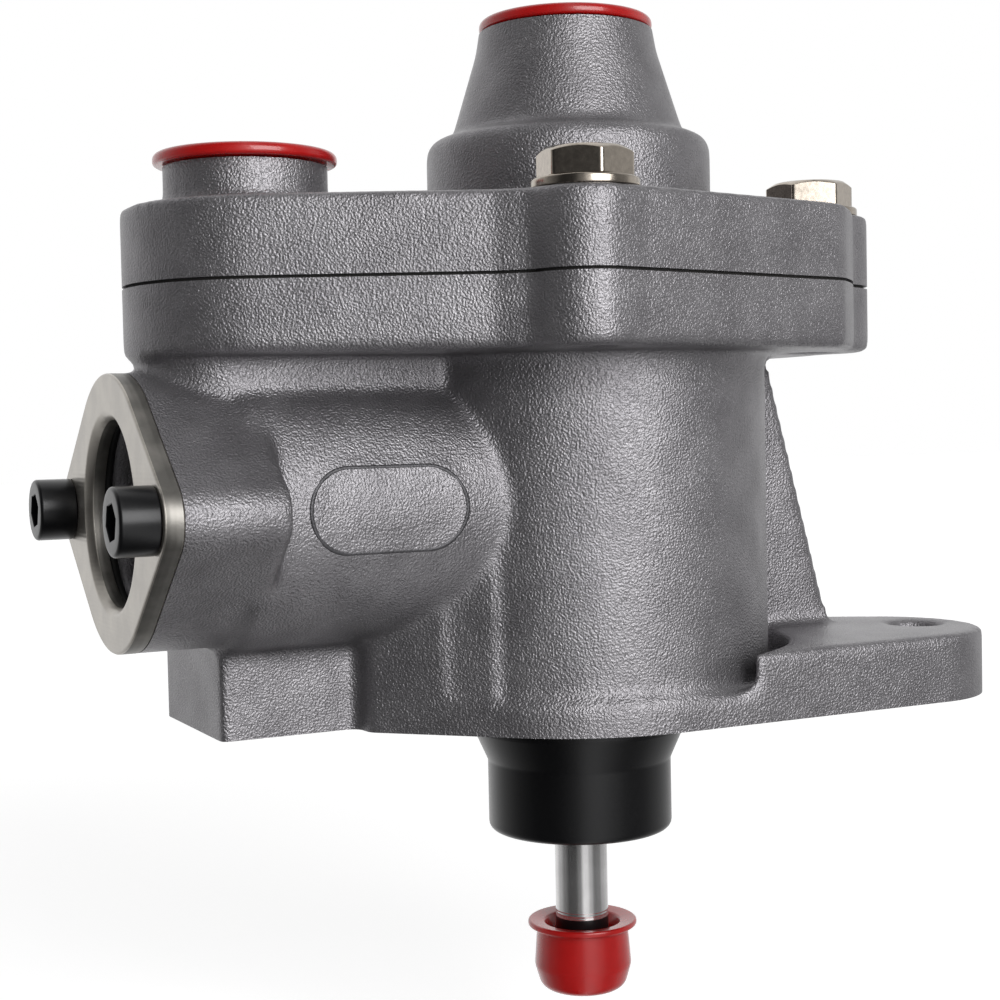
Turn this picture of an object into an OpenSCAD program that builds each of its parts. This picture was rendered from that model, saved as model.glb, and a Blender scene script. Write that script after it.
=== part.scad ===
/* [Barrel and mounting flange] */
// Outer radius of the upright barrel
barrel_r = 33; // [30:0.5:36]
// Radius of the piston bore
piston_bore_r = 22; // [19:0.5:24]
// Radius of the delivery chamber under the piston
chamber_r = 19.5; // [17:0.5:20.5]
// Height from the mounting face to the cover joint
body_h = 71; // [68:0.5:78]
// Radius of the flange nose round the barrel
nose_r = 34.3; // [33.5:0.1:36]
// Thickness of the mounting flange
flange_t = 11.5; // [9:0.5:14]
// Height of the flange rim that stands round the barrel foot
rim_h = 5.2; // [4:0.2:7]
// Radius of the clearance groove between the flange and the barrel foot
groove_r = 36.3; // [35.5:0.1:38]
// Distance of the flange ear from the barrel axis
ear_x = 53.5; // [48:0.5:60]
// Offset of the flange ear to the front
ear_y = -17; // [-20:0.5:-12]
// Radius of the flange ear
ear_r = 17; // [14:0.5:20]
// Radius of the clearance hole in the ear
ear_hole_r = 4.5; // [3.3:0.1:5.5]
// Distance of the ear hole from the barrel axis
ear_hole_x = 61.5; // [56:0.5:63]
// Offset of the ear hole to the front
ear_hole_y = -16; // [-19:0.5:-12]
// Thickness of the rib
rib_t = 6; // [4:0.5:8]
// Distance of the lower end of the rib from the barrel axis
rib_foot_x = 50; // [46:0.5:52]
// Distance of the upper end of the rib from the barrel axis
rib_top_x = 37; // [35:0.5:40]

/* [Foot block under the boss] */
// Left end of the foot block
foot_x0 = -65; // [-68:0.5:-60]
// Length of the foot block
foot_len = 23; // [20:0.5:26]
// Front face of the foot block
foot_y0 = -2; // [-6:0.5:2]
// Depth of the foot block
foot_depth = 31; // [28:0.5:34]
// Height of the foot block behind the boss
foot_h = 14; // [12:0.5:16]
// Radius of the tapped hole in the foot
foot_hole_r = 3.4; // [2.5:0.1:4.2]
// Depth of the tapped hole in the foot
foot_hole_depth = 11; // [8:0.5:12]
// Half width of the web under the boss
web_half = 19.4; // [17:0.1:20]
// Height of the web in front of the boss
web_ledge_z = 23.2; // [20:0.1:24]

/* [Horizontal boss] */
// Height of the boss axis
boss_z = 36.5; // [35.5:0.5:38]
// Outer radius of the boss
boss_r = 22.5; // [21:0.5:23]
// Distance of the boss face from the barrel axis
boss_face_x = 78.3; // [76:0.1:82]
// Radius of the open bore
socket_r = 14.4; // [13:0.1:15.5]
// Depth of the open bore
socket_depth = 33.3; // [30:0.1:35]
// Length of the eared stretch behind the boss face
ear_len = 16; // [12:0.5:18]
// Half width of the neck between the boss and the upper flange
neck_r = 13.5; // [11:0.5:15]
// Distance of the rounded neck end from the barrel axis
neck_x = 62.5; // [58:0.5:64]

/* [End plate] */
// Thickness of the end plate
plate_t = 3; // [2:0.5:5]
// Radius of the plate at its middle
plate_r = 21.5; // [20.5:0.5:22]
// Distance from the middle to each screw
screw_offset = 25; // [24:0.5:26]
// Radius of the plate ears
plate_ear_r = 5.8; // [5.4:0.1:7]
// Nominal radius of the plate screws
plate_screw_r = 3; // [2.5:0.5:3]
// Depth of the tapped plate screw holes
plate_screw_depth = 12; // [9:0.5:14]

/* [Cover] */
// Thickness of the gasket
gasket_t = 0.5; // [0.3:0.1:1]
// Thickness of the cover plate
cover_t = 12.1; // [11.5:0.1:15]
// Thickness of the upper body flange
upper_flange_t = 10.8; // [9:0.1:13]
// Radius of the main lobe
main_r = 48; // [46:0.5:50]
// Distance of the side walls from the barrel axis
wall_r = 46; // [44:0.5:46]
// Distance of the side lobe from the barrel axis
lobe_x = 55; // [53:0.5:57]
// Radius of the side lobe
lobe_r = 22.5; // [21:0.5:24]
// Radius of the collar round the tower
collar_r = 24.3; // [23.5:0.1:25.5]
// Height of the collar
collar_h = 14; // [11:0.5:17]
// Radius of the tower foot
tower_foot_r = 20; // [18:0.5:21]
// Radius of the tower top
tower_top_r = 14.4; // [13.5:0.1:16]
// Rounding of the collar edge
collar_edge = 3; // [1:0.5:4]
// Height of the tower above the collar
tower_h = 18; // [15:0.5:22]
// Wall radius of the threaded tower port
tower_port_r = 10.2; // [9:0.1:10.8]
// Radius of the seal recess at the mouth of the tower port
tower_mouth_r = 11.2; // [10.8:0.1:12]
// Distance of the side port from the barrel axis
side_port_x = 58; // [56:0.5:60]
// Outer radius of the side port boss
side_boss_r = 12.9; // [12:0.1:14]
// Height of the side port boss
side_boss_h = 6.4; // [4:0.1:10]
// Wall radius of the threaded side port
side_port_r = 9.2; // [8.5:0.1:9.6]
// Radius of the seal recess at the mouth of the side port
side_mouth_r = 10; // [9.6:0.1:11]
// Radius of the gallery between the side port and the boss
gallery_r = 7; // [5:0.5:8]

/* [Cover bolts] */
// Radius of the bolt circle
bolt_circle_r = 42; // [41:0.5:43]
// Nominal radius of the cover bolts
bolt_r = 4; // [3.5:0.5:4]
// Width across flats of the bolt heads
bolt_af = 13; // [12:0.5:14]
// Height of the bolt heads
bolt_head_h = 4.5; // [4:0.1:6]
// Outer radius of the washers
washer_r = 8.2; // [8:0.1:9]
// Thickness of the washers
washer_t = 1.5; // [1:0.1:2]
// Radius of the casting round each bolt
bolt_boss_r = 9.8; // [9:0.1:10.5]

/* [Push rod and guide sleeve] */
// Radius of the push rod
rod_r = 4.6; // [4:0.1:5]
// Reach of the bright rod below the mounting face
rod_reach = 37.1; // [34:0.1:42]
// Length of the black end piece of the rod
tip_len = 9; // [7:0.5:12]
// Radius of the pilot on the guide sleeve
pilot_r = 18.4; // [18:0.1:20]
// Height of the cylindrical pilot
pilot_h = 4; // [3:0.5:5]
// Thickness of the sleeve collar, which lies flush in the mounting face
collar_t = 1; // [0.8:0.1:2]
// Radius of the lower guide sleeve
sleeve_r = 15.95; // [15:0.05:17]
// Length of the guide sleeve below the mounting face
sleeve_len = 21.4; // [18:0.1:26]
// Rounding of the lower edge of the guide sleeve
sleeve_edge = 2; // [1:0.5:3]
// Radius of the sleeve spigot inside the body
spigot_r = 14; // [13:0.5:15]
// Length of the sleeve spigot inside the body
spigot_len = 13; // [12:0.5:15]
// Radius of the rod seals
seal_r = 9; // [8.5:0.1:10]
// Thickness of one rod seal
seal_t = 3; // [2.5:0.1:3.2]

/* [Piston and springs] */
// Length of the piston
piston_len = 11; // [9:0.5:12]
// Wire radius of the pumping spring
spring_wire_r = 1.25; // [1:0.05:1.5]
// Turns of the pumping spring
spring_turns = 4.5; // [3.5:0.5:4.5]
// Radius of the flow holes in the piston
flow_hole_r = 2.3; // [1.5:0.1:2.6]
// Distance of the flow holes from the axis
flow_hole_x = 11.5; // [10.5:0.1:12]
// Thickness of the valve discs
disc_t = 1.4; // [1:0.1:2]
// Lift of the valve discs
disc_lift = 1.5; // [1:0.1:1.5]
// Radial play of a running fit
run_gap = 0.05; // [0.03:0.01:0.08]
// Gap between pieces that lie against each other and move apart
rest_gap = 0.3; // [0.2:0.05:0.4]
// Radial play of a pressed or screwed fit
press_gap = 0.03; // [0.02:0.01:0.05]

/* [Transport caps] */
// Radius of the tower cap flange
tower_cap_r = 14.8; // [14.5:0.1:16]
// Radius of the side cap flange
side_cap_r = 14.4; // [13.5:0.1:15]
// Thickness of the cap flanges
cap_flange_t = 1.9; // [1.2:0.1:2.5]
// Wall of the caps
cap_wall = 1.2; // [1:0.1:1.6]
// Depth of the cap plugs in their ports
plug_depth = 6; // [4:0.5:8]
// Radius of the rod cap rim
rod_cap_rim_r = 9.5; // [9:0.1:11]
// Radius of the rod cap bulge
rod_cap_r = 8.4; // [8:0.1:9]
// Height of the rod cap
rod_cap_h = 12.2; // [11.5:0.1:14]

/* [Hidden] */
$fn = 96;
cast_grey = [0.50, 0.49, 0.49];
cut_grey = [0.66, 0.64, 0.61];
steel = [0.72, 0.72, 0.73];
black = [0.08, 0.08, 0.09];
cap_red = [0.80, 0.07, 0.05];
brass = [0.72, 0.58, 0.30];
gasket_grey = [0.12, 0.11, 0.10];
// Cutting bodies reach this far past the faces that they open
cut = 0.1;
// Bodies that grow out of each other overlap by this much
lap = 1;
// Forms that run into the barrel end this far from its axis
inside_x = 20;
// Straight walls lie this far inside the circles that they lead to, so that each edge is a clear one
sink = 0.02;

cover_z = body_h + gasket_t;
cover_top = cover_z + cover_t;
collar_top = cover_top + collar_h;
tower_top = collar_top + tower_h;
side_top = cover_top + side_boss_h;
flange_z = body_h - upper_flange_t;

// Holes, mouths and edges
hole_chamfer = 0.6;
hole_play = 0.5;
screw_play = 0.3;
gasket_margin = 0.7;
sleeve_collar_r = pilot_r + 0.5;
mouth_depth = plug_depth + 0.6;
mouth_chamfer = 1;
// The passage below each threaded port is narrower than its wall by this much
throat_step = 0.8;
throat_h = 3.5;
side_throat_h = 4;

bolt_angles = [-115.5, -23, 23, 115.5];
bolt_points = [for (a = bolt_angles) bolt_circle_r * [cos(a), sin(a)]];

// The inlet and the outlet valve are alike: a seat, a disc, a spring and a cage
valve_r = 12;
valve_wall = 1.2;
valve_seat_t = 3;
valve_hole_r = 6.5;
valve_disc_r = 9;
valve_spring_h = disc_lift + 4.5;
valve_pocket = valve_seat_t + rest_gap + disc_t + rest_gap + valve_spring_h + valve_wall;
valve_wire_r = 0.5;
valve_turns = 3.5;
valve_spring_r = 4.4;

// Recess of the pumping spring in the cover, below the inlet valve
inlet_top_z = collar_top - 5.6;
recess_z = inlet_top_z - valve_pocket;
recess_r = 19;
seat_washer_t = 1;
// Axial play at each end of a spring
end_play = 0.15;
spring_seat_z = recess_z - seat_washer_t;
spring_mean_r = recess_r - spring_wire_r - 0.8;

// Chamber under the piston, which the port leads out of
port_r = 6;
piston_z = boss_z + port_r + 1.5;
shoulder_z = piston_z - rest_gap;
chamber_z = spigot_len + 1;

// Retaining rings and the grooves that they are sprung into
ring_play = 0.05;
ring_groove = 0.9;
seal_ring_t = 0.9;
seal_ring_w = 2.1;
seal_ring_z = spigot_len - 2;
cage_ring_t = 1;
cage_ring_w = 2.3;
cage_ring_play = 0.15;
seal_bore_z = spigot_len - 9;

// Outlet valve at the inner end of the boss bore
socket_end_x = -(boss_face_x - socket_depth);
outlet_x = socket_end_x + valve_pocket + cage_ring_t + 2 * cage_ring_play + cut;

// Grooves of the O-rings
plate_groove_t = 1.5;
plate_groove_w = 2;
plate_wire_r = 0.74;
spigot_groove_h = 2.2;
spigot_groove_w = 1.7;
spigot_wire_r = 0.8;

// Piston hub, its valve disc and the retainer below, held by a clip
hub_r = 7;
clip_spring_r = 10.6;
retainer_t = 1.4;
retainer_z = boss_z - port_r - 0.2 - retainer_t;
piston_disc_r = chamber_r - 2.5;
piston_top = piston_z + piston_len;
piston_ring_t = 2.2;
piston_ring_w = 2.1;
piston_ring_z = piston_z + piston_len - 4.9;
hub_below = 1.6;
clip_t = 0.65;
clip_depth = 0.5;
rod_top = piston_z + 4;
rod_chamfer = 0.6;

// End plate and the heads of its screws
plate_x = -boss_face_x - plate_t;
screw_head_r = plate_screw_r * 5 / 3;
screw_head_h = plate_screw_r * 2;

// Outline of two discs and the two tangents that join them
function belt_angle(c1, c2) = atan2(c2.y - c1.y, c2.x - c1.x);
function belt_spread(c1, r1, c2, r2) = acos((r1 - r2) / norm(c2 - c1));
function on_circle(c, r, a) = c + r * [cos(a), sin(a)];

module belt(c1, r1, c2, r2) {
    a = belt_angle(c1, c2);
    b = belt_spread(c1, r1, c2, r2);
    translate(c1) circle(r1);
    translate(c2) circle(r2);
    polygon([
        c1, on_circle(c1, r1 - sink, a - b), on_circle(c2, r2 - sink, a - b),
        c2, on_circle(c2, r2 - sink, a + b), on_circle(c1, r1 - sink, a + b)
    ]);
}

// Ring with a rectangular section
module tube(r_out, r_in, h) {
    difference() {
        cylinder(h = h, r = r_out);
        translate([0, 0, -cut]) cylinder(h = h + 2 * cut, r = r_in);
    }
}

// Concave fillet that stands on a plane round a cylinder
module foot_fillet(r, fillet) {
    rotate_extrude() translate([r - cut, 0]) difference() {
        square(fillet + cut);
        translate([fillet + cut, fillet]) circle(fillet);
    }
}

// O-ring with its centre at the origin
module o_ring(mean_r, wire_r) {
    rotate_extrude() translate([mean_r, 0]) circle(wire_r);
}

// Coil of round wire from z = 0 to z = h, with closed end turns
function coil_rise(t, turns, pitch, h) =
    let (mid = (h - 2 * pitch) / (turns - 2))
    t < 1 ? pitch * t : t > turns - 1 ? h - pitch * (turns - t) : pitch + mid * (t - 1);

module coil(mean_r, wire_r, h, turns, steps = 20) {
    sides = 8;
    pitch = 2.06 * wire_r;
    travel = h - 2 * wire_r;
    rings = floor(turns * steps);
    points = [
        for (i = [0 : rings])
            let (t = i / steps, z = wire_r + coil_rise(t, turns, pitch, travel))
            for (k = [0 : sides - 1])
                let (r = mean_r + wire_r * cos(360 * k / sides))
                [r * cos(360 * t), r * sin(360 * t), z + wire_r * sin(360 * k / sides)]
    ];
    skin = [
        for (i = [0 : rings - 1], k = [0 : sides - 1])
            let (n = (k + 1) % sides)
            [i * sides + k, (i + 1) * sides + k, (i + 1) * sides + n, i * sides + n]
    ];
    polyhedron(
        points,
        concat(
            skin,
            [[for (k = [0 : sides - 1]) k]],
            [[for (k = [sides - 1 : -1 : 0]) rings * sides + k]]
        ),
        convexity = 8
    );
}

// Plan outline of the cover, taken in by a constant margin
module joint_outline(margin = 0) {
    belt([0, 0], wall_r - margin, [-lobe_x, 0], lobe_r - margin);
    circle(main_r - margin);
    for (p = bolt_points) translate(p) circle(bolt_boss_r - margin);
}

// Plate with the cover outline
module joint_plate(h) {
    linear_extrude(h) joint_outline();
}

// Outline of the end plate and of the ears behind it, drawn along the Y axis
module plate_outline() {
    belt([0, 0], plate_r, [0, screw_offset], plate_ear_r);
    belt([0, 0], plate_r, [0, -screw_offset], plate_ear_r);
}

// Places its children on the boss axis at x, with their +Z along +X
module along_boss(x) {
    translate([x, 0, boss_z]) rotate([0, 90, 0]) children();
}

// Mounting flange: nose and ear, with the groove that clears the barrel foot
module mounting_flange() {
    difference() {
        linear_extrude(flange_t) belt([0, 0], nose_r, [ear_x, ear_y], ear_r);
        groove_cut();
        translate([ear_hole_x, ear_hole_y, -cut]) cylinder(h = flange_t + 2 * cut, r = ear_hole_r);
        translate([ear_hole_x, ear_hole_y, flange_t - hole_chamfer])
            cylinder(h = hole_chamfer + cut, r1 = ear_hole_r, r2 = ear_hole_r + hole_chamfer + cut);
    }
}

module groove_cut() {
    corner = 1.5;
    translate([0, 0, rim_h]) rotate_extrude() {
        square([groove_r - corner, body_h]);
        translate([0, corner]) square([groove_r, body_h]);
        translate([groove_r - corner, corner]) circle(corner);
    }
}

// Flange floor to the left, the foot block and the web that carries the boss
module foot() {
    web_x = foot_x0 + foot_len;
    web_y = -nose_r * sqrt(2) - web_x;
    heel = 4;
    back_x = web_x - heel;
    back_y = foot_y0 + foot_depth;
    back_angle = atan2(back_y, back_x) - acos(nose_r / norm([back_x, back_y]));
    difference() {
        union() {
            linear_extrude(rim_h) polygon([
                [0, 0], on_circle([0, 0], nose_r - sink, 225), [web_x, web_y], [web_x, back_y],
                [back_x, back_y], on_circle([0, 0], nose_r - sink, back_angle)
            ]);
            web(web_x, web_y);
            translate([foot_x0, foot_y0, 0]) cube([foot_len, foot_depth, foot_h]);
            translate([foot_x0, foot_y0, 0]) cube([foot_len, web_half - foot_y0, boss_z]);
        }
        translate([foot_x0 + foot_len / 2, foot_y0 + foot_depth / 2, -cut])
            cylinder(h = foot_hole_depth + cut, r = foot_hole_r);
    }
}

// Web with a 45 degree wall: the groove passes in front, and its root closes on the barrel
module web(web_x, web_y) {
    root_gap = 0.7;
    root_angle = 219;
    end_gap = 0.2;
    end_angle = 203;
    difference() {
        linear_extrude(boss_z) polygon([
            [0, 0], on_circle([0, 0], nose_r - sink, 225), [web_x, web_y], [web_x, web_half], [0, web_half]
        ]);
        translate([0, 0, -cut]) tube(groove_r, barrel_r - lap, boss_z + 2 * cut);
        translate([-nose_r, -web_half - nose_r, web_ledge_z]) cube([nose_r, nose_r, boss_z]);
    }
    linear_extrude(boss_z) polygon([
        [0, 0], on_circle([0, 0], barrel_r + root_gap, root_angle),
        on_circle([0, 0], groove_r + end_gap, end_angle),
        [-groove_r, 0], [-groove_r, web_half - lap], [0, web_half - lap]
    ]);
}

// Boss with its two ears, its neck up to the flange and the pad on its side
module boss() {
    boss_x = -boss_face_x + ear_len - 2 * lap;
    along_boss(boss_x) cylinder(h = -boss_x - inside_x, r = boss_r);
    along_boss(-boss_face_x) linear_extrude(ear_len) plate_outline();
    translate([0, 0, boss_z]) linear_extrude(flange_z - boss_z + lap) {
        translate([-neck_x, 0]) circle(neck_r);
        translate([-neck_x, -neck_r]) square([neck_x - inside_x, 2 * neck_r]);
    }
    side_pad();
}

// Thin raised oval line on the front of the boss
module side_pad() {
    pad_x = -44;
    pad_half = 6.4;
    pad_h = 6.8;
    line_w = 0.9;
    line_rise = 0.35;
    reach = 20;
    intersection() {
        translate([0, 0, boss_z]) rotate([90, 0, 0]) linear_extrude(boss_r + lap) difference() {
            belt([pad_x - pad_half, 0], pad_h, [pad_x + pad_half, 0], pad_h);
            belt([pad_x - pad_half, 0], pad_h - line_w, [pad_x + pad_half, 0], pad_h - line_w);
        }
        along_boss(pad_x - reach) cylinder(h = 2 * reach, r = boss_r + line_rise);
    }
}

// Triangular rib between the upper flange and the ear
module rib() {
    rib_angle = -4;
    root = 3;
    rotate([0, 0, rib_angle]) translate([0, rib_t / 2, 0]) rotate([90, 0, 0]) linear_extrude(rib_t)
        polygon([
            [barrel_r - root, rim_h - 2 * lap], [rib_foot_x, rim_h + 2 * lap], [rib_foot_x, flange_t],
            [rib_top_x, flange_z + lap], [barrel_r - root, flange_z + lap]
        ]);
}

module body_casting() color(cast_grey) difference() {
    low_fillet = 1.3;
    high_fillet = 1.5;
    union() {
        mounting_flange();
        cylinder(h = body_h - lap, r = barrel_r);
        translate([0, 0, rim_h]) foot_fillet(barrel_r, low_fillet);
        translate([0, 0, flange_z]) mirror([0, 0, 1]) foot_fillet(barrel_r, high_fillet);
        translate([0, 0, flange_z]) joint_plate(upper_flange_t);
        foot();
        boss();
        rib();
    }
    // Piston bore, chamber and sleeve bore
    translate([0, 0, shoulder_z]) cylinder(h = body_h, r = piston_bore_r);
    translate([0, 0, chamber_z]) cylinder(h = shoulder_z, r = chamber_r);
    translate([0, 0, -cut]) cylinder(h = chamber_z + 2 * cut, r = spigot_r);
    translate([0, 0, -cut]) cylinder(h = collar_t + cut, r = sleeve_collar_r + press_gap);
    // Boss bore, valve pocket and port into the chamber
    along_boss(-boss_face_x - cut) cylinder(h = socket_depth + cut, r = socket_r);
    along_boss(socket_end_x - cut) cylinder(h = outlet_x - socket_end_x + cut, r = valve_r);
    along_boss(outlet_x - cut) cylinder(h = -outlet_x - chamber_r / 2, r = port_r);
    along_boss(socket_end_x + cut) cylinder(h = cage_ring_t + 2 * cage_ring_play, r = valve_r + ring_groove);
    // O-ring counterbore in the boss face
    along_boss(-boss_face_x - cut) cylinder(h = plate_groove_t + cut, r = socket_r + plate_groove_w);
    // Gallery up to the side port
    translate([-side_port_x, 0, boss_z]) cylinder(h = body_h, r = gallery_r);
    // Tapped holes
    for (p = bolt_points) translate([p.x, p.y, flange_z - cut])
        cylinder(h = upper_flange_t + 2 * cut, r = bolt_r);
    for (side = [-1, 1]) translate([0, side * screw_offset, 0])
        along_boss(-boss_face_x - cut) cylinder(h = plate_screw_depth + cut, r = plate_screw_r);
}

// Seal recess with its chamfer, cut down from z = 0
module port_mouth(r) {
    translate([0, 0, -mouth_depth]) cylinder(h = mouth_depth + cut, r = r);
    translate([0, 0, -mouth_chamfer]) cylinder(h = mouth_chamfer + cut, r1 = r, r2 = r + mouth_chamfer + cut);
}

module cover_casting() color(cast_grey) difference() {
    collar_fillet = 1.2;
    side_fillet = 0.8;
    union() {
        translate([0, 0, cover_z]) joint_plate(cover_t);
        translate([0, 0, cover_top]) foot_fillet(collar_r, collar_fillet);
        translate([0, 0, cover_top - lap]) cylinder(h = collar_h + lap - collar_edge, r = collar_r);
        translate([0, 0, cover_top - lap]) cylinder(h = collar_h + lap, r = collar_r - collar_edge);
        translate([0, 0, collar_top - collar_edge]) o_ring(collar_r - collar_edge, collar_edge);
        translate([0, 0, collar_top - lap]) cylinder(h = lap, r = tower_foot_r);
        translate([0, 0, collar_top]) cylinder(h = tower_h, r1 = tower_foot_r, r2 = tower_top_r);
        translate([-side_port_x, 0, cover_top]) foot_fillet(side_boss_r, side_fillet);
        translate([-side_port_x, 0, cover_top - lap]) cylinder(h = side_boss_h + lap, r = side_boss_r);
    }
    // Spring recess and valve pocket
    translate([0, 0, cover_z - cut]) cylinder(h = recess_z - cover_z + cut, r = recess_r);
    translate([0, 0, recess_z - cut]) cylinder(h = valve_pocket + cut, r = valve_r);
    // Tower port
    translate([0, 0, inlet_top_z - cut]) cylinder(h = tower_top, r = tower_port_r - throat_step);
    translate([0, 0, inlet_top_z + throat_h]) cylinder(h = tower_top, r = tower_port_r);
    translate([0, 0, tower_top]) port_mouth(tower_mouth_r);
    // Side port
    translate([-side_port_x, 0, cover_z - cut]) cylinder(h = cover_t, r = side_port_r - throat_step);
    translate([-side_port_x, 0, cover_z + side_throat_h]) cylinder(h = side_top, r = side_port_r);
    translate([-side_port_x, 0, side_top]) port_mouth(side_mouth_r);
    for (p = bolt_points) translate([p.x, p.y, cover_z - cut])
        cylinder(h = cover_t + 2 * cut, r = bolt_r + hole_play);
}

module cover_gasket() color(gasket_grey) translate([0, 0, body_h]) difference() {
    hole_h = gasket_t + 2 * cut;
    linear_extrude(gasket_t) joint_outline(gasket_margin);
    translate([0, 0, -cut]) cylinder(h = hole_h, r = piston_bore_r);
    translate([-side_port_x, 0, -cut]) cylinder(h = hole_h, r = gallery_r);
    for (p = bolt_points) translate([p.x, p.y, -cut]) cylinder(h = hole_h, r = bolt_r + hole_play);
}

// Hexagon head bolt: the underside of its head is at z = 0
module hex_bolt(shank) {
    corner_r = bolt_af / sqrt(3);
    end_chamfer = bolt_r / 5;
    intersection() {
        cylinder(h = bolt_head_h, r = corner_r, $fn = 6);
        cylinder(h = bolt_head_h, r = bolt_af * 0.555);
        cylinder(h = bolt_head_h + cut / 10, r1 = corner_r + bolt_head_h * 1.7, r2 = bolt_af * 0.46);
    }
    translate([0, 0, -shank]) cylinder(h = shank, r = bolt_r - press_gap);
    translate([0, 0, -shank - end_chamfer])
        cylinder(h = end_chamfer, r1 = bolt_r - end_chamfer, r2 = bolt_r - press_gap);
}

module cover_bolts() color(cut_grey) {
    stack = washer_t + cover_t + gasket_t + upper_flange_t;
    end_gap = 1.6;
    first_turn = 9;
    next_turn = 23;
    for (i = [0 : len(bolt_points) - 1])
        translate([bolt_points[i].x, bolt_points[i].y, cover_top + washer_t])
            rotate([0, 0, first_turn + next_turn * i]) hex_bolt(stack - end_gap);
}

module bolt_washers() color(cut_grey)
    for (p = bolt_points) translate([p.x, p.y, cover_top]) tube(washer_r, bolt_r + screw_play, washer_t);

module end_plate() color(cut_grey) difference() {
    chamfer = 1;
    along_boss(plate_x) linear_extrude(plate_t) plate_outline();
    along_boss(plate_x - cut) cylinder(h = plate_t + 2 * cut, r = socket_r);
    along_boss(plate_x - cut) cylinder(h = chamfer + cut, r1 = socket_r + chamfer + cut, r2 = socket_r);
    for (side = [-1, 1]) translate([0, side * screw_offset, 0])
        along_boss(plate_x - cut) cylinder(h = plate_t + 2 * cut, r = plate_screw_r + screw_play);
}

// Socket head screw: the underside of its head is at z = 0, its shank points up
module socket_screw(shank) {
    chamfer = 0.5;
    socket_af = screw_head_r;
    difference() {
        union() {
            translate([0, 0, -screw_head_h + chamfer]) cylinder(h = screw_head_h - chamfer, r = screw_head_r);
            translate([0, 0, -screw_head_h])
                cylinder(h = chamfer, r1 = screw_head_r - chamfer, r2 = screw_head_r);
        }
        translate([0, 0, -screw_head_h - cut])
            cylinder(h = screw_head_h / 2, r = socket_af / sqrt(3), $fn = 6);
    }
    cylinder(h = shank, r = plate_screw_r - press_gap);
}

module plate_screws() color(black) {
    turn = 12;
    end_gap = 1.5;
    for (side = [-1, 1]) translate([0, side * screw_offset, 0])
        along_boss(plate_x) rotate([0, 0, turn * side]) socket_screw(plate_t + plate_screw_depth - end_gap);
}

module plate_o_ring() color(black)
    along_boss(-boss_face_x + plate_groove_t / 2)
        o_ring(socket_r + plate_groove_w - plate_wire_r - 0.11, plate_wire_r);

module guide_sleeve() color(black) {
    bore_r = rod_r + run_gap;
    flare = pilot_r - sleeve_r;
    low_z = -sleeve_len + sleeve_edge;
    difference() {
        union() {
            translate([0, 0, -pilot_h]) cylinder(h = pilot_h, r = pilot_r);
            cylinder(h = collar_t, r = sleeve_collar_r);
            translate([0, 0, low_z]) cylinder(h = -low_z, r = sleeve_r);
            translate([0, 0, -sleeve_len]) cylinder(h = sleeve_edge + lap, r = sleeve_r - sleeve_edge);
            translate([0, 0, low_z]) o_ring(sleeve_r - sleeve_edge, sleeve_edge);
            translate([0, 0, -pilot_h]) mirror([0, 0, 1]) flare_ring(flare);
            cylinder(h = spigot_len, r = spigot_r - press_gap);
        }
        translate([0, 0, -sleeve_len - cut]) cylinder(h = sleeve_len + spigot_len + 2 * cut, r = bore_r);
        translate([0, 0, -sleeve_len - cut]) cylinder(h = lap, r1 = bore_r + lap, r2 = bore_r);
        translate([0, 0, seal_bore_z]) cylinder(h = spigot_len, r = seal_r);
        translate([0, 0, seal_ring_z])
            cylinder(h = seal_ring_t + 2 * ring_play, r = seal_r + ring_groove);
        translate([0, 0, spigot_len / 2 - spigot_groove_h / 2])
            tube(spigot_r + lap, spigot_r - spigot_groove_w, spigot_groove_h);
    }
}

// Hollow curve that leads from the pilot down to the narrower sleeve
module flare_ring(flare) {
    curve = flare * 2.4;
    rotate_extrude() translate([sleeve_r - cut, 0]) difference() {
        square([flare + cut, curve]);
        translate([curve + cut, curve]) circle(curve);
    }
}

module sleeve_o_ring() color(black)
    translate([0, 0, spigot_len / 2]) o_ring(spigot_r - spigot_wire_r - 2 * press_gap, spigot_wire_r);

module rod_seals() color(black) {
    seal_gap = 0.4;
    outer_wall = 1.4;
    inner_wall = 1.6;
    for (i = [0, 1]) translate([0, 0, seal_bore_z + i * (seal_t + seal_gap)]) difference() {
        tube(seal_r - press_gap, rod_r + run_gap, seal_t);
        translate([0, 0, -cut]) tube(seal_r - outer_wall, rod_r + inner_wall, seal_t / 2 + cut);
    }
}

// Open ring of width w and thickness t with two eyes, whose outer radius is r
module snap_ring(r, w, t) {
    gap = 4;
    eye_r = 1.4;
    eye_hole_r = 0.6;
    eye_angle = 24;
    eye_reach = 0.4;
    shift = 0.3;
    difference() {
        cylinder(h = t, r = r);
        translate([shift, 0, -cut]) cylinder(h = t + 2 * cut, r = r - w);
        translate([0, -gap / 2, -cut]) cube([r + lap, gap, t + 2 * cut]);
    }
    for (side = [-1, 1]) rotate([0, 0, side * eye_angle])
        translate([r - w - eye_reach, 0, 0]) tube(eye_r, eye_hole_r, t);
}

module seal_retaining_ring() color(steel)
    translate([0, 0, seal_ring_z + ring_play])
        snap_ring(seal_r + ring_groove - ring_play, seal_ring_w, seal_ring_t);

module push_rod() color(steel) {
    translate([0, 0, -rod_reach]) cylinder(h = rod_reach + rod_top - rod_chamfer, r = rod_r);
    translate([0, 0, rod_top - rod_chamfer]) cylinder(h = rod_chamfer, r1 = rod_r, r2 = rod_r - rod_chamfer);
}

module rod_tip() color(black) {
    chamfer = 1;
    translate([0, 0, -rod_reach - tip_len + chamfer]) cylinder(h = tip_len - chamfer, r = rod_r);
    translate([0, 0, -rod_reach - tip_len]) cylinder(h = chamfer, r1 = rod_r - chamfer, r2 = rod_r);
}

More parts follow.
